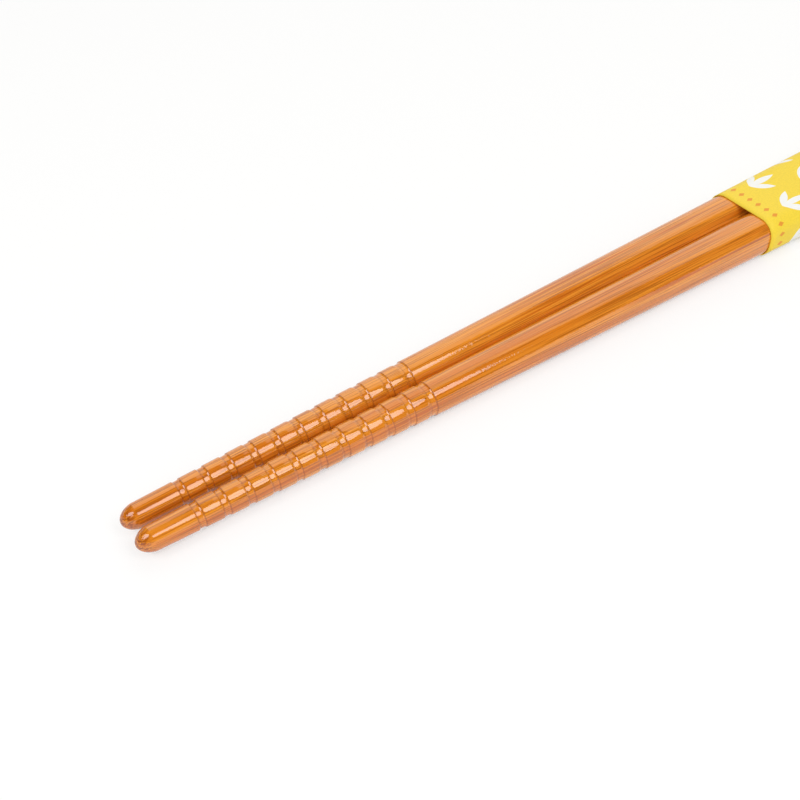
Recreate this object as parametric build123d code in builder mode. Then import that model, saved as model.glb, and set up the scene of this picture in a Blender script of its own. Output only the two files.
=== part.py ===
from build123d import *
from math import acos, atan, cos, degrees, sin, sqrt
import os

# Pair of lacquered bamboo chopsticks lying side by side, held together by a paper band.
# Lengths are in millimetres. The tips point to -X, the handles to +X, and Z = 0 is the table.
# Places along a stick are measured from its tip.

# Stick
stick_length = 225.0
dome_length = 2.3
shoulder_diameter = 3.8
neck_diameter = 5.55
handle_width = 8.8
neck_flat_width = 0.1
end_rounding = 0.8

# Ring grooves turned into the tip: a crisp wall on the handle side, a soft lead-in on the tip side
ring_count = 11
ring_pitch = 3.8
first_ring_place = 9.65
ring_width = 0.95
ring_depth = 0.16
first_ring_lead = 0.2
last_ring_lead = 0.7

# Pair and paper band
pair_gap = 0.06
band_length = 72.0
bare_end_length = 35.8
paper_thickness = 0.2
paper_clearance = 0.05

# The dome is part of an ellipse whose centre lies past the shoulder, which leaves a soft shoulder line
dome_reach_share = 1.3
dome_centre = dome_length * dome_reach_share
dome_past = dome_centre - dome_length
shoulder_radius = shoulder_diameter / 2
dome_height = shoulder_radius / sqrt(1 - (dome_past / dome_centre) ** 2)
dome_sweep = degrees(acos(dome_past / dome_centre))

# The neck is the wall of the last groove: the turned tip ends there and the handle starts
neck_place = first_ring_place + (ring_count - 1) * ring_pitch
neck_radius = neck_diameter / 2
corner_radius = (neck_diameter - neck_flat_width) / 2
handle_length = stick_length - neck_place
tip_slope = (neck_radius - shoulder_radius) / (neck_place - dome_length)
handle_gain = (handle_width - neck_diameter) / 2
handle_slope = handle_gain / handle_length

# Each stick leans by its handle's taper, so its inner flat is upright and its lower flat is level
lean = atan(handle_slope)
seat_height = paper_thickness + paper_clearance
tip_offset = neck_radius * cos(lean) - neck_place * sin(lean)

# The band starts here, so that the handle's end stays bare
band_place = stick_length - bare_end_length - band_length

# Walls of the grooves and the length of each lead-in, from the tip to the neck
ring_walls = [first_ring_place + ring * ring_pitch for ring in range(ring_count)]
lead_step = (last_ring_lead - first_ring_lead) / (ring_count - 1)
ring_leads = [first_ring_lead + ring * lead_step for ring in range(ring_count)]


def tip_radius(place):
    return shoulder_radius + tip_slope * (place - dome_length)


def handle_width_at(place):
    return neck_diameter + 2 * handle_slope * (place - neck_place)


os.makedirs("parts", exist_ok=True)

# Stick, with its tip at the origin and its axis along X. The handle is a tapered square bar whose corners are
# rounded by about the neck's own radius, so it leaves the neck round and its flats widen towards the end.
# The ringed tip is turned
with BuildPart() as stick:
    with Locations(Plane((neck_place, 0, 0), x_dir=(0, -1, 0), z_dir=(0, 0, 1))):
        Wedge(
            neck_diameter,
            handle_length,
            neck_diameter,
            xmin=-handle_gain,
            zmin=-handle_gain,
            xmax=neck_diameter + handle_gain,
            zmax=neck_diameter + handle_gain,
            align=(Align.CENTER, Align.MIN, Align.CENTER),
        )
    bar_corners = stick.edges().filter_by_position(
        Axis.X, neck_place, stick_length, inclusive=(False, False)
    )
    fillet(bar_corners, radius=corner_radius)
    handle_end = stick.faces().sort_by(Axis.X)[-1]
    fillet(handle_end.edges(), radius=end_rounding)
    with BuildSketch(Plane.XZ):
        with BuildLine():
            EllipticalCenterArc(
                (dome_centre, 0),
                x_radius=dome_centre,
                y_radius=dome_height,
                start_angle=180,
                arc_size=-dome_sweep,
            )
            land_start = (dome_length, shoulder_radius)
            for wall, lead in zip(ring_walls, ring_leads):
                floor_start = wall - ring_width
                land_end = floor_start - lead
                lead_start = (land_end, tip_radius(land_end))
                floor_edge = (floor_start, tip_radius(floor_start) - ring_depth)
                wall_foot = (wall, tip_radius(wall) - ring_depth)
                Polyline(land_start, lead_start, floor_edge, wall_foot)
                land_start = (wall, tip_radius(wall))
                if wall < neck_place:
                    Line(wall_foot, land_start)
            Polyline(wall_foot, (neck_place, 0), (0, 0))
        make_face()
    revolve(axis=Axis.X)

# The pair: the same stick twice, each copy turned outwards and upwards by the lean
for name, side in (("left_chopstick", -1), ("right_chopstick", 1)):
    tip_point = (-stick_length / 2, side * (pair_gap / 2 + tip_offset), seat_height + tip_offset)
    lean_turn = (0, -degrees(lean), side * degrees(lean))
    with BuildPart() as chopstick:
        with Locations(Location(tip_point, lean_turn)):
            add(stick.part)

    chopstick.part.label = name
    export_step(chopstick.part, f"parts/{name}.step")

# Paper band: a tapered sleeve around both handles, made as an outer wrap less the hollow for the wood
front_x = band_place - stick_length / 2
front_stick = handle_width_at(band_place)
stick_gain = handle_width_at(band_place + band_length) - front_stick
wraps = []
for skin in (paper_clearance + paper_thickness, paper_clearance):
    front_width = 2 * front_stick + pair_gap + 2 * skin
    front_height = front_stick + 2 * skin
    with BuildPart() as wrap:
        with Locations(Plane((front_x, 0, seat_height - skin), x_dir=(0, -1, 0), z_dir=(0, 0, 1))):
            Wedge(
                front_width,
                band_length,
                front_height,
                xmin=-stick_gain,
                zmin=0,
                xmax=front_width + stick_gain,
                zmax=front_height + stick_gain,
                align=(Align.CENTER, Align.MIN, Align.MIN),
            )
        wrap_corners = wrap.edges().filter_by_position(
            Axis.X, front_x, front_x + band_length, inclusive=(False, False)
        )
        fillet(wrap_corners, radius=corner_radius + skin)
    wraps.append(wrap.part)

with BuildPart() as paper_band:
    add(wraps[0])
    add(wraps[1], mode=Mode.SUBTRACT)

paper_band.part.label = "paper_band"
export_step(paper_band.part, "parts/paper_band.step")
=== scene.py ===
"""A banded pair of lacquered bamboo chopsticks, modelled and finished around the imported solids."""

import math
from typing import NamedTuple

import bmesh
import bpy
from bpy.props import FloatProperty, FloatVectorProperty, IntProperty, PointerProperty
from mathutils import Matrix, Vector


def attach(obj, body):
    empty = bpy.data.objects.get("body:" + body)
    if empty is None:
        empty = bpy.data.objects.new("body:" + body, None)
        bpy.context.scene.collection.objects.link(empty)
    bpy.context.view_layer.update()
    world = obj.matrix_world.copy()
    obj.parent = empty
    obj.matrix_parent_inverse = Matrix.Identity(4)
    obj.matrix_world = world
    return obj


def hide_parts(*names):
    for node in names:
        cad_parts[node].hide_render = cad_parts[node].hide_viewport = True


bl_info = {
    "name": "Banded Bamboo Chopsticks",
    "version": (1, 0, 0),
    "blender": (4, 5, 0),
    "location": "View3D > Sidebar > Chopsticks",
    "description": "Ring-grooved bamboo chopsticks under clear lacquer, held by a printed paper band",
    "category": "Add Mesh",
}

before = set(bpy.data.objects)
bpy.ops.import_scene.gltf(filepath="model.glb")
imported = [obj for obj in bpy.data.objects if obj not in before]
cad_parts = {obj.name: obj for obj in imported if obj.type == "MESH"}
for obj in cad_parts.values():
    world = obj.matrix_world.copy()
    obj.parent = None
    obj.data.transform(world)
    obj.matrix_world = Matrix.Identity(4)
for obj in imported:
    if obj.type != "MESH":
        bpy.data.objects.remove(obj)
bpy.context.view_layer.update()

MM = 0.001
STICKS = (("left_stick", "left_chopstick", -1), ("right_stick", "right_chopstick", 1))


def length(name, description, default):
    """A length that the sidebar shows in the scene's units."""
    return FloatProperty(name=name, description=description, default=default, unit="LENGTH", precision=5)


def colour(name, description, default):
    """A colour that the sidebar shows as a swatch."""
    return FloatVectorProperty(name=name, description=description, default=default, subtype="COLOR", size=3)


def point(name, description, default):
    """A place in the frame."""
    return FloatVectorProperty(name=name, description=description, default=default, subtype="XYZ", size=3)


def strength(name, description, default):
    """The strength of a lamp or of the room's light, where 1 is white."""
    return FloatProperty(name=name, description=description, default=default)


class StickSizes(bpy.types.PropertyGroup):
    """Sizes and colours of one chopstick; places are measured from its tip."""

    stick_length: length("Length", "From the tip to the end of the handle", 225 * MM)
    dome_length: length("Dome", "Length of the blunt end of the tip", 2.3 * MM)
    shoulder_diameter: length("Shoulder", "Thickness where the dome ends", 3.8 * MM)
    neck_diameter: length("Neck", "Thickness where the tip meets the handle", 5.55 * MM)
    neck_flat_width: length("Neck flat", "Width of the handle's flats at the neck", 0.1 * MM)
    handle_width: length("Handle", "Width across the flats at the handle's end", 8.8 * MM)
    end_rounding: length("End rounding", "Rounding of the handle's end", 0.8 * MM)
    ring_count: IntProperty(name="Rings", description="Number of ring grooves", default=11, min=2)
    ring_pitch: length("Ring pitch", "From one groove to the next", 3.8 * MM)
    first_ring_place: length("First ring", "Place of the first groove's wall", 9.65 * MM)
    ring_width: length("Ring width", "Width of a groove's floor", 0.95 * MM)
    ring_depth: length("Ring depth", "Depth of a groove", 0.16 * MM)
    first_ring_lead: length("First lead-in", "Lead-in of the groove next to the tip", 0.2 * MM)
    last_ring_lead: length("Last lead-in", "Lead-in of the groove at the neck", 0.7 * MM)
    wall_foot: length("Wall foot", "Reach of the cove at the foot of a groove's wall", 0.26 * MM)
    wall_edge: length("Wall edge", "Rounding along the top of a groove's wall", 0.03 * MM)
    pair_gap: length("Pair gap", "Gap between the two sticks", 0.06 * MM)
    seat_height: length("Seat height", "Height of the sticks over the table", 0.25 * MM)
    amber: colour("Amber", "Middle tone of the bamboo", (0.73, 0.198, 0.009))
    pale_fibre: colour("Pale fibre", "Light streaks in the bamboo", (0.89, 0.322, 0.028))
    dark_fibre: colour("Dark fibre", "Fine dark lines in the bamboo", (0.44, 0.115, 0.005))
    red_fibre: colour("Red fibre", "Broad reddish streaks in the bamboo", (0.60, 0.128, 0.003))
    groove_line: colour("Groove line", "Lacquer gathered along the grooves", (0.30, 0.062, 0.004))
    end_grain: colour("End grain", "Cut fibre ends on the dome", (0.32, 0.066, 0.003))


class BandSizes(bpy.types.PropertyGroup):
    """Sizes and colours of the paper band."""

    band_length: length("Length", "Length of the band along the sticks", 72 * MM)
    bare_end_length: length("Bare end", "Bare handle behind the band", 35.8 * MM)
    paper_thickness: length("Paper", "Thickness of the paper", 0.2 * MM)
    paper_clearance: length("Clearance", "Room between the paper and the wood", 0.05 * MM)
    yellow: colour("Yellow", "Printed ground of the band", (0.98, 0.72, 0.05))
    orange: colour("Orange", "Lozenges of the print", (0.85, 0.33, 0.03))
    white: colour("White", "Bare paper and the leaves of the print", (0.93, 0.93, 0.91))


class StageSizes(bpy.types.PropertyGroup):
    """Camera, lamps and floor."""

    camera_place: point("Camera", "Where the camera stands", (-0.133861, -0.099341, 0.118755))
    camera_turn: FloatVectorProperty(
        name="Camera turn",
        description="How the camera is turned",
        default=(math.radians(45.6707), math.radians(1.2314), math.radians(-34.7621)),
        subtype="EULER",
        size=3,
    )
    camera_lens: FloatProperty(
        name="Lens", description="Focal length in millimetres", default=49.781, unit="CAMERA"
    )
    floor_radius: length("Floor", "Radius of the round floor", 3.0)
    backdrop_height: length("Backdrop", "Height of the backdrop round the floor", 0.6)
    shadow_reach: length("Shadow reach", "How far from the middle the floor shows shadows", 0.25)
    white_reach: length("White reach", "How far from the middle the floor becomes plain white", 0.6)
    floor_white: colour("Floor white", "Colour of the floor as it lights the object", (0.86, 0.86, 0.86))
    shade_reach: length("Contact shade", "How far the shade at the contact reaches", 2 * MM)
    key_strength: strength("Key", "Radiance of the key softbox", 3.8)
    tip_strength: strength("Tip lamp", "Radiance of the tip softbox", 4.1)
    back_strength: strength("Back panel", "Radiance of the back panel", 1.25)
    rim_strength: strength("Rim panel", "Radiance of the rim panel", 0.75)
    upper_strength: strength("Upper panel", "Radiance of the upper panel", 0.85)
    fill_strength: strength("Fill panel", "Radiance of the fill panel", 1.1)
    panel_tint: colour("Panel tint", "Tint of the back, rim and upper panels", (1.0, 0.98, 0.84))
    room_strength: strength("Room", "Strength of the room's even light", 0.38)
    room_mirrored: strength("Room mirrored", "Strength of the room as the lacquer sees it", 0.06)


SETTINGS = (("stick_sizes", StickSizes), ("band_sizes", BandSizes), ("stage_sizes", StageSizes))


# Selecting and shaping

# Round sections have this many sides, and points closer than the weld are one
SIDES = 96
WELD = 0.0005 * MM


def start_shaping(piece):
    """Opens a piece in edit mode, with points as what is selected."""
    bpy.context.view_layer.objects.active = piece
    bpy.ops.object.mode_set(mode="EDIT")
    bpy.ops.mesh.select_mode(type="VERT")


def pick(piece, test):
    """Selects the points of the open piece whose places pass the test."""
    bpy.ops.mesh.select_all(action="DESELECT")
    shape = bmesh.from_edit_mesh(piece.data)
    found = 0
    for vert in shape.verts:
        vert.select = test(vert.co)
        found += vert.select
    if not found:
        raise RuntimeError(f"{piece.name}: no point was found to shape")
    shape.select_flush_mode()
    bmesh.update_edit_mesh(piece.data)


def from_place(start):
    """A test for points at a place along the sticks and past it."""
    return lambda spot: spot.x > start - WELD


def spread_corners(piece, chosen, middle, sideways, upwards, downwards):
    """Moves the chosen points of a round section out by quarters, which opens flats between its corners."""
    for side in (-1, 1):
        for rise, lift in ((-1, -downwards), (1, upwards)):
            pick(piece, lambda spot: chosen(spot) and spot.y * side > 0 and (spot.z - middle) * rise > 0)
            bpy.ops.transform.translate(value=(0, side * sideways, lift))


def draw_out(piece, start, run, shares, middle, gain, under_gain):
    """Extrudes the open end along the sticks in shares of a run, and spreads each new section as it goes."""
    reached = start
    done_share = 0
    for share in shares:
        step_share = share - done_share
        step = step_share * run
        spread = step_share * gain
        pick(piece, from_place(reached))
        bpy.ops.mesh.extrude_region_move(TRANSFORM_OT_translate={"value": (step, 0, 0)})
        reached += step
        spread_corners(piece, from_place(reached), middle, spread, spread, step_share * under_gain)
        done_share = share


def finish_shaping(piece, name):
    """Closes the piece with its faces outwards and smooth, and names it."""
    bpy.ops.mesh.select_all(action="SELECT")
    bpy.ops.mesh.normals_make_consistent(inside=False)
    bpy.ops.object.mode_set(mode="OBJECT")
    bpy.ops.object.shade_smooth()
    piece.name = name
    piece.data.name = name


def apply_modifier(piece, name, kind, **values):
    """Adds a modifier, sets it and applies it."""
    modifier = piece.modifiers.new(name, kind)
    for key, value in values.items():
        setattr(modifier, key, value)
    bpy.context.view_layer.objects.active = piece
    bpy.ops.object.modifier_apply(modifier=name)


# Chopsticks

DOME_STEPS = 16
LEAD_STEPS = 6
EDGE_STEPS = 4
END_STEPS = 5
POINT_SIZE = 0.01 * MM
# The dome's ellipse reaches this many dome lengths from the tip to its centre
DOME_REACH_SHARE = 1.3
# Run and rise of the cove at the foot of a groove's wall
COVE_SHARES = ((0.0, 0.0), (0.12, 0.02), (0.25, 0.11), (0.75, 0.69), (0.9, 0.87))
# Sections of the handle, close together at its two ends
HANDLE_SHARES = (0.0006, 0.02, 0.25, 0.5, 0.75, 0.98, 1.0)


def neck_place(sizes):
    """The wall of the last groove, where the turned tip ends and the handle starts."""
    return sizes.first_ring_place + (sizes.ring_count - 1) * sizes.ring_pitch


def corner_radius(sizes):
    """Radius of the handle's rounded corners."""
    return (sizes.neck_diameter - sizes.neck_flat_width) / 2


def handle_slope(sizes):
    """How much each flat of the handle moves out for a length along it."""
    return (sizes.handle_width - sizes.neck_diameter) / 2 / (sizes.stick_length - neck_place(sizes))


def tip_radius(sizes, place):
    """Radius of the coned tip at a place."""
    share = (place - sizes.dome_length) / (neck_place(sizes) - sizes.dome_length)
    return (sizes.shoulder_diameter + (sizes.neck_diameter - sizes.shoulder_diameter) * share) / 2


def dome_points(sizes):
    """Part of an ellipse whose centre lies past the shoulder, which leaves a soft shoulder line."""
    centre = sizes.dome_length * DOME_REACH_SHARE
    past_share = (centre - sizes.dome_length) / centre
    height = sizes.shoulder_diameter / 2 / math.sqrt(1 - past_share ** 2)
    turns = [math.acos(past_share) * step / DOME_STEPS for step in range(DOME_STEPS + 1)]
    return [(centre * (1 - math.cos(turn)), height * math.sin(turn)) for turn in turns]


def ring_points(sizes, ring):
    """One groove: a lead-in that eases down to the floor, and a wall with a coved foot and a rounded top."""
    last_ring = sizes.ring_count - 1
    wall = sizes.first_ring_place + ring * sizes.ring_pitch
    lead = sizes.first_ring_lead + (sizes.last_ring_lead - sizes.first_ring_lead) * ring / last_ring
    start = wall - sizes.ring_width - lead
    points = []
    for step in range(LEAD_STEPS + 1):
        share = step / LEAD_STEPS
        eased_share = share * share * (3 - 2 * share)
        place = start + lead * share
        points.append((place, tip_radius(sizes, place) - sizes.ring_depth * eased_share))
    floor = tip_radius(sizes, wall) - sizes.ring_depth
    top = corner_radius(sizes) if ring == last_ring else tip_radius(sizes, wall)
    for run_share, rise_share in COVE_SHARES:
        rise = (sizes.ring_depth - sizes.wall_edge) * rise_share
        points.append((wall - sizes.wall_foot * (1 - run_share), floor + rise))
    for step in range(EDGE_STEPS + 1):
        turn = math.pi / 2 * step / EDGE_STEPS
        drop = sizes.wall_edge * (1 - math.sin(turn))
        points.append((wall + sizes.wall_edge * (1 - math.cos(turn)), top - drop))
    # A short step after the edge keeps the land's shading straight up to it
    if ring < last_ring:
        place = wall + sizes.wall_edge + sizes.wall_foot
        points.append((place, tip_radius(sizes, place)))
    return points


def turn_tip(sizes):
    """Draws half of the tip's outline point by point and spins it round the stick's axis."""
    outline = dome_points(sizes)
    for ring in range(sizes.ring_count):
        outline += ring_points(sizes, ring)
    bpy.ops.mesh.primitive_plane_add(size=POINT_SIZE, location=(0, 0, 0))
    stick = bpy.context.object
    start_shaping(stick)
    bpy.ops.mesh.select_all(action="SELECT")
    bpy.ops.mesh.merge(type="CENTER")
    # Half a step of turn keeps every point clear of the planes between the quarters
    half_step = math.pi / SIDES
    for (place, radius), (next_place, next_radius) in zip(outline, outline[1:]):
        rise = next_radius - radius
        step = (next_place - place, rise * math.sin(half_step), rise * math.cos(half_step))
        bpy.ops.mesh.extrude_vertices_move(TRANSFORM_OT_translate={"value": step})
    bpy.ops.mesh.select_all(action="SELECT")
    bpy.ops.mesh.spin(steps=SIDES, angle=2 * math.pi, center=(0, 0, 0), axis=(1, 0, 0))
    bpy.ops.mesh.select_all(action="SELECT")
    bpy.ops.mesh.remove_doubles(threshold=WELD)
    return stick


def draw_handle(sizes, stick):
    """Extrudes the handle from the neck, spreads its corners as it widens and rounds its end."""
    neck = neck_place(sizes)
    half_wall = corner_radius(sizes) - sizes.ring_depth / 2
    past_neck = from_place(neck)

    def on_wall_top(spot):
        return past_neck(spot) and math.hypot(spot.y, spot.z) > half_wall

    half_flat = sizes.neck_flat_width / 2
    spread_corners(stick, on_wall_top, 0, half_flat, half_flat, half_flat)
    start = neck + sizes.wall_edge
    run = sizes.stick_length - start
    gain = handle_slope(sizes) * run
    draw_out(stick, start, run, HANDLE_SHARES, 0, gain, gain)
    pick(stick, from_place(sizes.stick_length))
    bpy.ops.mesh.edge_face_add()
    bpy.ops.mesh.bevel(offset=sizes.end_rounding, segments=END_STEPS, affect="EDGES")


def lean_of(sizes):
    """A stick leans by its handle's taper, so its inner flat is upright and its lower flat is level."""
    return math.atan(handle_slope(sizes))


def tip_point(sizes, side):
    """Where the tip of the left (-1) or right (1) stick lies."""
    lean = lean_of(sizes)
    offset = sizes.neck_diameter / 2 * math.cos(lean) - neck_place(sizes) * math.sin(lean)
    across = side * (sizes.pair_gap / 2 + offset)
    return Vector((-sizes.stick_length / 2, across, sizes.seat_height + offset))


def lean_turn(sizes, side):
    """The turn that lays a stick in its place."""
    return (0, -lean_of(sizes), side * lean_of(sizes))


class CHOPSTICKS_OT_add_sticks(bpy.types.Operator):
    """Model one chopstick and lay two of it side by side"""

    bl_idname = "chopsticks.add_sticks"
    bl_label = "Add Chopsticks"

    def execute(self, context):
        sizes = context.scene.stick_sizes
        bpy.ops.object.select_all(action="DESELECT")
        stick = turn_tip(sizes)
        draw_handle(sizes, stick)
        finish_shaping(stick, "chopstick")
        apply_modifier(stick, "Even flats", "WEIGHTED_NORMAL", mode="FACE_AREA", weight=50)
        for name, node, side in STICKS:
            bpy.ops.object.select_all(action="DESELECT")
            stick.select_set(True)
            context.view_layer.objects.active = stick
            bpy.ops.object.duplicate()
            piece = context.object
            piece.name = name
            piece.data.name = name
            piece.rotation_mode = "ZYX"
            piece.rotation_euler = lean_turn(sizes, side)
            piece.location = tip_point(sizes, side)
            bpy.ops.object.transform_apply(location=True, rotation=True, scale=True)
            piece.data.materials.append(lacquered_bamboo(sizes, name, side))
            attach(piece, "root")
            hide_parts(node)
        bpy.data.objects.remove(stick)
        return {"FINISHED"}


# Paper band

# Sections of the band, close together at its two ends
BAND_SHARES = (0.02, 0.15, 0.3, 0.45, 0.6, 0.75, 0.85, 0.98, 1.0)
SEAM_REACH = 0.01 * MM


def stick_width_at(sizes, place):
    """Width of a handle across its flats at a place."""
    return sizes.neck_diameter + 2 * handle_slope(sizes) * (place - neck_place(sizes))


class BandForm:
    """Sections of the band's outer face, from its front edge to its back edge."""

    def __init__(self, sizes, band):
        skin = band.paper_clearance + band.paper_thickness
        front_place = sizes.stick_length - band.bare_end_length - band.band_length
        front_stick = stick_width_at(sizes, front_place)
        self.front = front_place - sizes.stick_length / 2
        self.length = band.band_length
        self.corner = corner_radius(sizes) + skin
        self.half_width = front_stick + sizes.pair_gap / 2 + skin - self.corner
        self.height = front_stick + 2 * skin - 2 * self.corner
        self.gain = stick_width_at(sizes, front_place + band.band_length) - front_stick

    def unrolled(self, spot):
        """A place on the outer face as lengths along the band and round it from the middle of the top."""
        share = (spot.x - self.front) / self.length
        half_width = self.half_width + self.gain * share
        height = self.height + self.gain * share
        from_middle = min(abs(spot.y), half_width)
        out = max(abs(spot.y) - half_width, 0)
        top = self.corner + height
        quarter = self.corner * math.pi / 2
        if spot.z >= top:
            turn = math.atan2(out, spot.z - top)
            girth = from_middle + self.corner * turn
        elif spot.z > self.corner:
            girth = half_width + quarter + top - spot.z
        else:
            turn = math.atan2(self.corner - spot.z, out)
            girth = half_width + quarter + height + self.corner * turn + half_width - from_middle
        return spot.x - self.front, math.copysign(girth, spot.y)


def unroll_map(piece, form):
    """Gives the band a map in millimetres, along it and round it, cut along the middle of its underside."""
    layer = piece.data.uv_layers.new(name="unrolled")
    for face in piece.data.polygons:
        corners = [form.unrolled(piece.data.vertices[index].co) for index in face.vertices]
        at_seam = face.center.z < form.corner and abs(face.center.y) < SEAM_REACH
        for loop, (along, around) in zip(face.loop_indices, corners):
            layer.data[loop].uv = (along / MM, (abs(around) if at_seam else around) / MM)


class CHOPSTICKS_OT_add_band(bpy.types.Operator):
    """Wrap the printed paper band round both handles"""

    bl_idname = "chopsticks.add_band"
    bl_label = "Add Paper Band"

    def execute(self, context):
        band = context.scene.band_sizes
        form = BandForm(context.scene.stick_sizes, band)
        centre = (form.front, 0, form.corner)
        bpy.ops.object.select_all(action="DESELECT")
        bpy.ops.mesh.primitive_circle_add(vertices=SIDES, radius=form.corner, rotation=(0, math.pi / 2, 0))
        wrap = context.object
        wrap.location = centre
        bpy.ops.object.transform_apply(location=True, rotation=True, scale=True)
        start_shaping(wrap)
        bpy.ops.mesh.select_all(action="SELECT")
        bpy.ops.transform.rotate(value=math.pi / SIDES, orient_axis="X", center_override=centre)
        spread_corners(wrap, lambda spot: True, form.corner, form.half_width, form.height, 0)
        middle = form.corner + form.height / 2
        draw_out(wrap, form.front, form.length, BAND_SHARES, middle, form.gain, 0)
        finish_shaping(wrap, "paper_wrap")
        unroll_map(wrap, form)
        wrap.data.materials.append(printed_paper(band))
        wrap.data.materials.append(bare_paper(band))
        apply_modifier(
            wrap,
            "Paper",
            "SOLIDIFY",
            thickness=band.paper_thickness,
            offset=-1,
            material_offset=1,
            material_offset_rim=0,
        )
        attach(wrap, "root")
        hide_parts("paper_band")
        return {"FINISHED"}


# Finishes

class Finish:
    """A material and short ways to add and link its nodes."""

    def __init__(self, name):
        self.material = bpy.data.materials.new(name)
        self.material.use_nodes = True
        self.tree = self.material.node_tree
        self.shader = self.tree.nodes["Principled BSDF"]

    def node(self, kind, **values):
        """Adds a node and sets its own options."""
        made = self.tree.nodes.new(kind)
        for key, value in values.items():
            setattr(made, key, value)
        return made

    def feed(self, socket, value):
        """Links a socket to another node's output, or sets it to a plain value."""
        if isinstance(value, bpy.types.NodeSocket):
            self.tree.links.new(value, socket)
        else:
            socket.default_value = value

    def set(self, **values):
        """Sets the shader's own sockets."""
        for key, value in values.items():
            self.feed(self.shader.inputs[key.replace("_", " ")], value)

    def math(self, operation, *values):
        """Works out a number from other numbers."""
        made = self.node("ShaderNodeMath", operation=operation)
        for socket, value in zip(made.inputs, values):
            self.feed(socket, value)
        return made.outputs["Value"]

    def plus(self, first, second):
        """The sum of two numbers."""
        return self.math("ADD", first, second)

    def minus(self, first, second):
        """The first number less the second."""
        return self.math("SUBTRACT", first, second)

    def times(self, first, second):
        """The product of two numbers."""
        return self.math("MULTIPLY", first, second)

    def over(self, first, second):
        """The first number divided by the second."""
        return self.math("DIVIDE", first, second)

    def most(self, first, second):
        """The larger of two numbers."""
        return self.math("MAXIMUM", first, second)

    def size(self, value):
        """A number without its sign."""
        return self.math("ABSOLUTE", value)

    def fraction(self, value):
        """What is left of a number past its whole part."""
        return self.math("FRACT", value)

    def between(self, value, low, high, to_low=0.0, to_high=1.0):
        """Eases from one number to another while the value goes from low to high."""
        made = self.node("ShaderNodeMapRange", interpolation_type="SMOOTHSTEP")
        for name, number in (
            ("Value", value),
            ("From Min", low),
            ("From Max", high),
            ("To Min", to_low),
            ("To Max", to_high),
        ):
            self.feed(made.inputs[name], number)
        return made.outputs["Result"]

    def mix(self, factor, first, second):
        """Mixes two colours."""
        made = self.node("ShaderNodeMix", data_type="RGBA")
        self.feed(made.inputs["Factor"], factor)
        for identifier, value in (("A_Color", first), ("B_Color", second)):
            socket = next(found for found in made.inputs if found.identifier == identifier)
            self.feed(socket, value if isinstance(value, bpy.types.NodeSocket) else (*value, 1.0))
        return next(found for found in made.outputs if found.identifier == "Result_Color")

    def axes(self, vector):
        """The X, Y and Z of a vector."""
        made = self.node("ShaderNodeSeparateXYZ")
        self.feed(made.inputs["Vector"], vector)
        return made.outputs

    def mapping(self, vector, kind="POINT", location=(0, 0, 0), rotation=(0, 0, 0), scale=(1, 1, 1)):
        """Moves, turns and scales a vector."""
        made = self.node("ShaderNodeMapping", vector_type=kind)
        self.feed(made.inputs["Vector"], vector)
        for name, value in (("Location", location), ("Rotation", rotation), ("Scale", scale)):
            self.feed(made.inputs[name], value)
        return made.outputs["Vector"]

    def noise(self, vector, detail, roughness):
        """Soft noise, one wave to a unit of the vector."""
        made = self.node("ShaderNodeTexNoise")
        self.feed(made.inputs["Vector"], vector)
        self.feed(made.inputs["Scale"], 1.0)
        self.feed(made.inputs["Detail"], detail)
        self.feed(made.inputs["Roughness"], roughness)
        return made.outputs["Fac"]

    def bump(self, height, relief):
        """Relief from a height."""
        made = self.node("ShaderNodeBump")
        self.feed(made.inputs["Distance"], relief)
        self.feed(made.inputs["Height"], height)
        return made.outputs["Normal"]

    def shade(self, kind, **values):
        """Adds another shader and sets its sockets."""
        made = self.node(kind)
        for key, value in values.items():
            self.feed(made.inputs[key], value)
        return made.outputs[0]

    def join(self, kind, *values):
        """Joins shaders by adding or mixing them; a mix takes its factor first."""
        made = self.node(kind)
        for socket, value in zip(made.inputs, values):
            self.feed(socket, value)
        return made.outputs["Shader"]


class Fibres(NamedTuple):
    """Noise drawn out along a stick. It shows from its least to its most share between two of its levels."""

    run: float
    width: float
    shift: float
    detail: float = 2.0
    roughness: float = 0.5
    start_share: float = 0.0
    full_share: float = 1.0
    least_share: float = 0.0
    most_share: float = 1.0


BROAD_TONES = Fibres(run=120 * MM, width=1.4 * MM, shift=3.7, start_share=0.36, full_share=0.64)
STREAKS = Fibres(run=80 * MM, width=0.5 * MM, shift=17.3, start_share=0.50, full_share=0.66)
CLUSTERS = Fibres(
    run=60 * MM, width=2.2 * MM, shift=37.9, detail=1.0, start_share=0.38, full_share=0.62, least_share=0.35
)
FINE_LINES = Fibres(
    run=40 * MM, width=0.2 * MM, shift=11.3, roughness=0.6, start_share=0.48, full_share=0.64, most_share=0.7
)
VESSELS = Fibres(
    run=90 * MM, width=0.32 * MM, shift=23.9, detail=1.0, start_share=0.60, full_share=0.68, most_share=0.75
)
FIBRE_ENDS = Fibres(
    run=3 * MM, width=0.24 * MM, shift=47.3, detail=1.0, start_share=0.46, full_share=0.56, most_share=0.95
)
RIPPLES = Fibres(run=0.36 * MM, width=0.3 * MM, shift=59.9, detail=1.0)

# Painted light: the bamboo is painted paler towards the handle between these places, standing in for more
# light falling there
PAINTED_LIGHT_REACH = (50 * MM, 110 * MM)
PAINTED_LIGHT_SHARE = 0.35
# Dark lines at a groove's wall and at the edge of its floor, from full to none
WALL_LINE_REACH = (0.04 * MM, 0.15 * MM)
FLOOR_LINE_REACH = (0.03 * MM, 0.2 * MM)
FLOOR_LINE_SHARE = 0.6
GROOVE_LINE_SHARE = 0.5
# The dome's cut fibres, from full to none
CUT_REACH = (0.5 * MM, 2.2 * MM)
CUT_TONE_SHARE = 0.25
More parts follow.
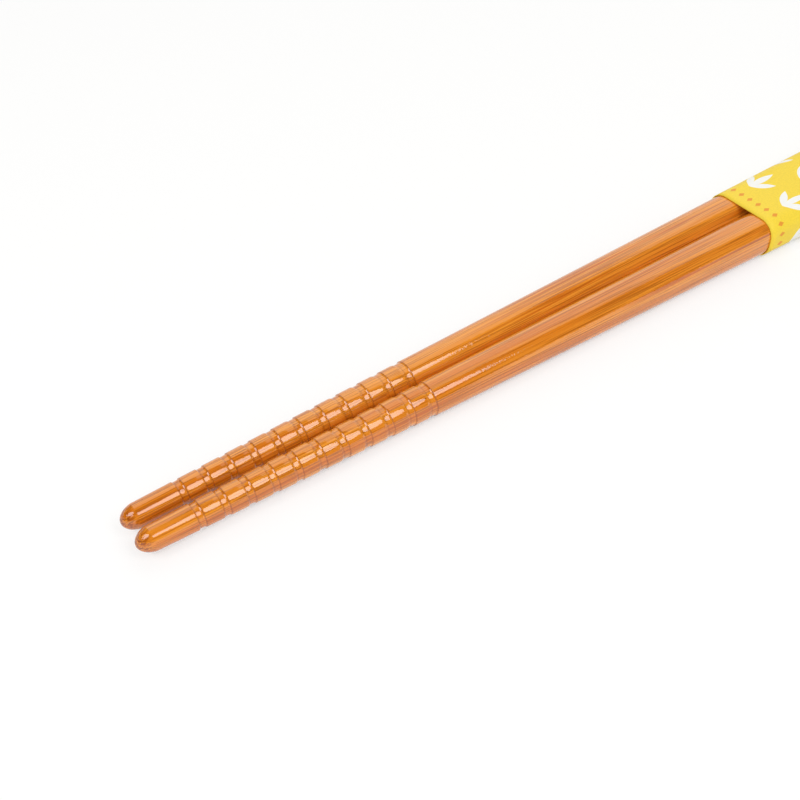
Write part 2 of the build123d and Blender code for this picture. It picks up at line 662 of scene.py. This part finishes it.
# The lacquer ripples more on the handle than on the tip, follows the fine lines and sinks at the fibre ends
RIPPLE_REACH = (40 * MM, 60 * MM)
RIPPLE_SHARES = (0.4, 1.6)
FINE_LINE_RIDGE_SHARE = 0.5
FIBRE_RELIEF = 0.006 * MM
LACQUER_RELIEF = 0.007 * MM
PIT_DEPTH = 0.077 * MM


def lacquered_bamboo(sizes, name, side):
    """Carbonised bamboo with straight fibres, cut ends on the dome and a clear gloss lacquer."""
    finish = Finish(f"{name}_lacquered_bamboo")
    place = finish.node("ShaderNodeTexCoord").outputs["Object"]
    own = finish.mapping(place, "TEXTURE", location=tip_point(sizes, side), rotation=lean_turn(sizes, side))
    along = finish.axes(own)["X"]

    def levels(fibres):
        """The noise of one kind of fibre in this stick."""
        start = (fibres.shift, fibres.shift * side, fibres.shift)
        scale = (1 / fibres.run, 1 / fibres.width, 1 / fibres.width)
        drawn_out = finish.mapping(own, location=start, scale=scale)
        return finish.noise(drawn_out, fibres.detail, fibres.roughness)

    def shown(level, fibres):
        """How much of one kind of fibre shows at a level of its noise."""
        shares = (fibres.start_share, fibres.full_share, fibres.least_share, fibres.most_share)
        return finish.between(level, *shares)

    fine = levels(FINE_LINES)
    tone = finish.mix(shown(levels(BROAD_TONES), BROAD_TONES), sizes.amber, sizes.pale_fibre)
    # Painted light: the tone turns paler towards the handle's end
    tone = finish.mix(finish.between(along, *PAINTED_LIGHT_REACH, 0.0, PAINTED_LIGHT_SHARE), tone, sizes.pale_fibre)
    red = finish.times(shown(levels(STREAKS), STREAKS), shown(levels(CLUSTERS), CLUSTERS))
    tone = finish.mix(red, tone, sizes.red_fibre)
    tone = finish.mix(shown(fine, FINE_LINES), tone, sizes.dark_fibre)
    tone = finish.mix(shown(levels(VESSELS), VESSELS), tone, sizes.dark_fibre)

    # Lacquer gathers at the walls of the grooves and along their floors' edges, and darkens them there
    half_pitch_share = 0.5
    shift_share = half_pitch_share - sizes.first_ring_place / sizes.ring_pitch
    pitches = finish.math("MULTIPLY_ADD", along, 1 / sizes.ring_pitch, shift_share)
    from_wall = finish.times(finish.minus(finish.fraction(pitches), half_pitch_share), sizes.ring_pitch)
    wall_line = finish.between(finish.size(from_wall), *WALL_LINE_REACH, 1.0, 0.0)
    from_floor_edge = finish.size(finish.plus(from_wall, sizes.ring_width))
    floor_line = finish.between(from_floor_edge, *FLOOR_LINE_REACH, FLOOR_LINE_SHARE, 0.0)
    reach = sizes.ring_pitch / 2
    after_start = finish.math("GREATER_THAN", along, sizes.first_ring_place - reach)
    before_end = finish.math("LESS_THAN", along, neck_place(sizes) + reach)
    line = finish.times(finish.most(wall_line, floor_line), finish.times(after_start, before_end))
    tone = finish.mix(finish.times(line, GROOVE_LINE_SHARE), tone, sizes.groove_line)

    # The dome cuts across the fibres, so it shows their dark ends
    ends = levels(FIBRE_ENDS)
    cut = finish.between(along, *CUT_REACH, 1.0, 0.0)
    tone = finish.mix(finish.times(cut, CUT_TONE_SHARE), tone, sizes.dark_fibre)
    tone = finish.mix(finish.times(cut, shown(ends, FIBRE_ENDS)), tone, sizes.end_grain)

    ripples = finish.times(levels(RIPPLES), finish.between(along, *RIPPLE_REACH, *RIPPLE_SHARES))
    ridges = finish.plus(ripples, finish.times(fine, FINE_LINE_RIDGE_SHARE))
    pits = finish.times(finish.times(cut, ends), -PIT_DEPTH / LACQUER_RELIEF)
    finish.set(Base_Color=tone, Roughness=0.5, Specular_IOR_Level=0.0)
    finish.set(Coat_Weight=1.0, Coat_Roughness=0.04, Coat_IOR=1.75)
    finish.set(Normal=finish.bump(fine, FIBRE_RELIEF))
    finish.set(Coat_Normal=finish.bump(finish.plus(ridges, pits), LACQUER_RELIEF))
    return finish.material


# Turn in degrees and length of each leaf; the print's sizes are in the unrolled map's millimetres
LEAVES = (
    (0.0, 6.2),
    (36.0, 4.8),
    (-36.0, 4.8),
)


def leaf_sprigs(finish, unrolled):
    """Rows of three-leaved sprigs, each second row moved across by half a sprig."""
    print_start = 4.6
    row_length = 8.8
    row_count = 7
    sprig_width = 7.6
    stem_place = 0.9
    leaf_half_width = 0.7
    half_sprig_share = 0.5
    soft_edge_share = 0.12
    spot = finish.axes(unrolled)
    rows = finish.over(finish.minus(spot["X"], print_start), row_length)
    from_middle_row = finish.size(finish.minus(rows, row_count / 2))
    printed = finish.math("LESS_THAN", from_middle_row, row_count / 2)
    odd = finish.math("MODULO", finish.math("FLOOR", rows), 2.0)
    lanes = finish.plus(finish.over(spot["Y"], sprig_width), finish.times(odd, half_sprig_share))
    cell = finish.node("ShaderNodeCombineXYZ")
    finish.feed(cell.inputs["X"], finish.times(finish.fraction(rows), row_length))
    from_stem = finish.minus(finish.fraction(lanes), half_sprig_share)
    finish.feed(cell.inputs["Y"], finish.times(from_stem, sprig_width))
    sprig = None
    for turn, leaf_length in LEAVES:
        leaf = finish.mapping(
            cell.outputs["Vector"],
            "TEXTURE",
            location=(stem_place, 0, 0),
            rotation=(0, 0, math.radians(turn)),
            scale=(leaf_length, leaf_half_width, 1),
        )
        on_leaf = finish.axes(leaf)
        run = on_leaf["X"]
        # A parabola that is 0 at both ends of the leaf and 1 at its middle
        bulge = finish.times(finish.times(run, finish.minus(1.0, run)), 4.0)
        inside = finish.minus(bulge, finish.size(on_leaf["Y"]))
        sprig = inside if sprig is None else finish.most(sprig, inside)
    return finish.times(finish.between(sprig, 0.0, soft_edge_share), printed)


def end_lozenges(finish, unrolled, band):
    """A row of small lozenges round each end of the band."""
    lozenge_pitch = 1.9
    end_place = 2.6
    half_length = 0.75
    half_width = 0.5
    half_pitch_share = 0.5
    full_share = 0.85
    spot = finish.axes(unrolled)
    middle = band.band_length / MM / 2
    from_end = finish.minus(middle, finish.size(finish.minus(spot["X"], middle)))
    along = finish.over(finish.size(finish.minus(from_end, end_place)), half_length)
    lanes = finish.minus(finish.fraction(finish.over(spot["Y"], lozenge_pitch)), half_pitch_share)
    across = finish.times(finish.size(lanes), lozenge_pitch / half_width)
    return finish.between(finish.plus(along, across), full_share, 1.0, 1.0, 0.0)


# Paper pulp: its noise, the levels between which it deepens the paper, its grain and its relief
PULP_DETAIL = 3.0
PULP_ROUGHNESS = 0.6
PULP_SHARES = (0.35, 0.65)
DEEPER_SHARE = 0.93
PRINT_PULP_PER_MM = 3
BARE_PULP_SIZE = 0.3 * MM
PRINT_RELIEF = 0.004 * MM
BARE_RELIEF = 0.01 * MM


def pulp_levels(finish, place, scale):
    """Fine even noise, as of paper pulp."""
    return finish.noise(finish.mapping(place, scale=(scale, scale, scale)), PULP_DETAIL, PULP_ROUGHNESS)


def pulp_tone(finish, pulp, ground):
    """A ground colour that the pulp makes a little deeper in places."""
    deeper = tuple(DEEPER_SHARE * part for part in ground)
    return finish.mix(finish.between(pulp, *PULP_SHARES), ground, deeper)


def printed_paper(band):
    """Yellow printed ground with a row of orange lozenges at each end and sprigs of white leaves between."""
    finish = Finish("printed_paper")
    unrolled = finish.node("ShaderNodeUVMap", uv_map="unrolled").outputs["UV"]
    pulp = pulp_levels(finish, unrolled, PRINT_PULP_PER_MM)
    tone = pulp_tone(finish, pulp, band.yellow)
    tone = finish.mix(leaf_sprigs(finish, unrolled), tone, band.white)
    tone = finish.mix(end_lozenges(finish, unrolled, band), tone, band.orange)
    finish.set(Base_Color=tone, Roughness=0.5, Specular_IOR_Level=0.35)
    finish.set(Normal=finish.bump(pulp, PRINT_RELIEF))
    return finish.material


def bare_paper(band):
    """The unprinted back of the paper, with faint pulp."""
    finish = Finish("bare_paper")
    place = finish.node("ShaderNodeTexCoord").outputs["Object"]
    pulp = pulp_levels(finish, place, 1 / BARE_PULP_SIZE)
    finish.set(Base_Color=pulp_tone(finish, pulp, band.white), Roughness=0.7, Specular_IOR_Level=0.2)
    finish.set(Normal=finish.bump(pulp, BARE_RELIEF))
    return finish.material


# Stage

class Softbox(NamedTuple):
    """A soft lamp: where it hangs, what it faces, its size, and the setting that holds its strength."""

    name: str
    shape: str
    place: tuple
    aim: tuple
    width: float
    height: float
    setting: str
    tinted: bool = False
    lights: bool = True
    mirrored: bool = True


SOFTBOXES = (
    Softbox(
        name="key_softbox",
        shape="ELLIPSE",
        place=(0.0444, -0.2818, 0.415),
        aim=(-0.0656, -0.0078, 0.017),
        width=0.26,
        height=0.31,
        setting="key_strength",
    ),
    Softbox(
        name="tip_softbox",
        shape="ELLIPSE",
        place=(-0.397, 0.0, 0.414),
        aim=(-0.112, 0.0, 0.004),
        width=0.27,
        height=0.27,
        setting="tip_strength",
    ),
    # The back panel is only mirrored in the lacquer, and the rim panel behind it only lights
    Softbox(
        name="back_panel",
        shape="RECTANGLE",
        place=(0.40, 0.566, 0.492),
        aim=(0.40, 0.0, 0.0),
        width=1.05,
        height=0.765,
        setting="back_strength",
        tinted=True,
        lights=False,
    ),
    Softbox(
        name="rim_panel",
        shape="RECTANGLE",
        place=(0.40, 0.60, 0.522),
        aim=(0.40, 0.0, 0.0),
        width=1.05,
        height=0.765,
        setting="rim_strength",
        tinted=True,
        mirrored=False,
    ),
    Softbox(
        name="upper_panel",
        shape="RECTANGLE",
        place=(0.56, 0.11, 0.6),
        aim=(0.56, 0.11, 0.0),
        width=0.88,
        height=0.26,
        setting="upper_strength",
        tinted=True,
    ),
    Softbox(
        name="fill_panel",
        shape="RECTANGLE",
        place=(-0.48, -0.525, 0.21),
        aim=(-0.06, 0.0, 0.004),
        width=0.7,
        height=0.6,
        setting="fill_strength",
        mirrored=False,
    ),
)

# Parts of the floor's white near the object: what a shadow takes away, and what only the contact shade does
SHADOW_SHARE = 0.30
GLOW_SHARE = 0.71
# The contact shade ends where this much of the view upwards is open
OPEN_SHARE = 0.3
SHADE_SAMPLES = 4
CAMERA_CLIP = 5 * MM


def add_softbox(box, stage):
    """Hangs a soft lamp that faces its aim, with its width along the sticks."""
    facing = (Vector(box.place) - Vector(box.aim)).normalized()
    along = Vector((1, 0, 0))
    across = (along - along.dot(facing) * facing).normalized()
    turn = Matrix((across, facing.cross(across), facing)).transposed().to_euler()
    bpy.ops.object.light_add(type="AREA", location=box.place, rotation=turn)
    lamp = bpy.context.object
    lamp.name = box.name
    lamp.data.shape = box.shape
    lamp.data.size = box.width
    lamp.data.size_y = box.height
    area = box.width * box.height * (math.pi / 4 if box.shape == "ELLIPSE" else 1)
    lamp.data.energy = getattr(stage, box.setting) * math.pi * area
    if box.tinted:
        lamp.data.color = stage.panel_tint
    lamp.visible_camera = False
    lamp.visible_diffuse = box.lights
    lamp.visible_glossy = box.mirrored


def white_floor(stage):
    """A pale floor that the camera and the lacquer see as white, with the object's shadow on it."""
    finish = Finish("white_floor")
    finish.tree.nodes.remove(finish.shader)
    plain = finish.shade("ShaderNodeBsdfDiffuse", Color=(*stage.floor_white, 1.0))
    shaded = finish.shade("ShaderNodeBsdfDiffuse", Color=(SHADOW_SHARE, SHADOW_SHARE, SHADOW_SHARE, 1.0))
    nearby = finish.node("ShaderNodeAmbientOcclusion", samples=SHADE_SAMPLES)
    finish.feed(nearby.inputs["Distance"], stage.shade_reach)
    level = finish.between(nearby.outputs["AO"], 0.0, OPEN_SHARE, 0.0, GLOW_SHARE)
    glow = finish.shade("ShaderNodeEmission", Strength=level)
    seen = finish.join("ShaderNodeAddShader", shaded, glow)
    white = finish.shade("ShaderNodeEmission")
    distance = finish.node("ShaderNodeVectorMath", operation="LENGTH")
    finish.feed(distance.inputs[0], finish.node("ShaderNodeTexCoord").outputs["Object"])
    far = finish.between(distance.outputs["Value"], stage.shadow_reach, stage.white_reach)
    ground = finish.join("ShaderNodeMixShader", far, seen, white)
    rays = finish.node("ShaderNodeLightPath").outputs
    mirrored = finish.most(rays["Is Glossy Ray"], rays["Is Transmission Ray"])
    direct = finish.most(rays["Is Camera Ray"], mirrored)
    surface = finish.join("ShaderNodeMixShader", direct, plain, ground)
    finish.feed(finish.tree.nodes["Material Output"].inputs["Surface"], surface)
    return finish.material


def add_floor(stage):
    """Adds the round floor with its backdrop."""
    bpy.ops.mesh.primitive_circle_add(vertices=SIDES, radius=stage.floor_radius, location=(0, 0, 0))
    floor = bpy.context.object
    start_shaping(floor)
    bpy.ops.mesh.select_all(action="SELECT")
    bpy.ops.mesh.extrude_region_move(TRANSFORM_OT_translate={"value": (0, 0, stage.backdrop_height)})
    pick(floor, lambda spot: spot.z < stage.backdrop_height / 2)
    bpy.ops.mesh.edge_face_add()
    bpy.ops.object.mode_set(mode="OBJECT")
    floor.name = "floor"
    floor.data.materials.append(white_floor(stage))


def light_room(stage, scene):
    """Gives the scene the room's even light, which the lacquer mirrors darker."""
    world = bpy.data.worlds.new("studio_room")
    world.use_nodes = True
    tree = world.node_tree
    background = tree.nodes["Background"]
    background.inputs["Color"].default_value = (1, 1, 1, 1)
    rays = tree.nodes.new("ShaderNodeLightPath")
    level = tree.nodes.new("ShaderNodeMapRange")
    level.inputs["To Min"].default_value = stage.room_strength
    level.inputs["To Max"].default_value = stage.room_mirrored
    tree.links.new(rays.outputs["Is Glossy Ray"], level.inputs["Value"])
    tree.links.new(level.outputs["Result"], background.inputs["Strength"])
    scene.world = world


def add_camera(stage, scene):
    """Adds the camera and makes it the scene's own."""
    bpy.ops.object.camera_add(location=stage.camera_place, rotation=stage.camera_turn)
    camera = bpy.context.object
    camera.name = "camera"
    camera.data.lens = stage.camera_lens
    camera.data.clip_start = CAMERA_CLIP
    scene.camera = camera


class CHOPSTICKS_OT_add_stage(bpy.types.Operator):
    """Add the floor, the lamps, the room's light and the camera"""

    bl_idname = "chopsticks.add_stage"
    bl_label = "Add Stage"

    def execute(self, context):
        stage = context.scene.stage_sizes
        bpy.ops.object.select_all(action="DESELECT")
        add_floor(stage)
        for box in SOFTBOXES:
            add_softbox(box, stage)
        light_room(stage, context.scene)
        add_camera(stage, context.scene)
        context.scene.view_settings.view_transform = "Standard"
        return {"FINISHED"}


# Add-on

class CHOPSTICKS_PT_sidebar(bpy.types.Panel):
    """Sizes and colours of the pair, and the operators that make it"""

    bl_label = "Chopsticks"
    bl_idname = "CHOPSTICKS_PT_sidebar"
    bl_space_type = "VIEW_3D"
    bl_region_type = "UI"
    bl_category = "Chopsticks"

    def draw(self, context):
        for operator, (settings, group) in zip(OPERATORS, SETTINGS):
            box = self.layout.box()
            for name in group.__annotations__:
                box.prop(getattr(context.scene, settings), name)
            box.operator(operator.bl_idname)


OPERATORS = (CHOPSTICKS_OT_add_sticks, CHOPSTICKS_OT_add_band, CHOPSTICKS_OT_add_stage)
CLASSES = (*(group for _, group in SETTINGS), *OPERATORS, CHOPSTICKS_PT_sidebar)


def register():
    """Adds the classes and their settings to Blender."""
    for made in CLASSES:
        bpy.utils.register_class(made)
    for name, group in SETTINGS:
        setattr(bpy.types.Scene, name, PointerProperty(type=group))


def unregister():
    """Takes the settings and the classes out again."""
    for name, _ in SETTINGS:
        delattr(bpy.types.Scene, name)
    for made in reversed(CLASSES):
        bpy.utils.unregister_class(made)


def main():
    """Makes the pieces and the stage."""
    register()
    bpy.ops.chopsticks.add_sticks()
    bpy.ops.chopsticks.add_band()
    bpy.ops.chopsticks.add_stage()


if __name__ == "__main__":
    main()
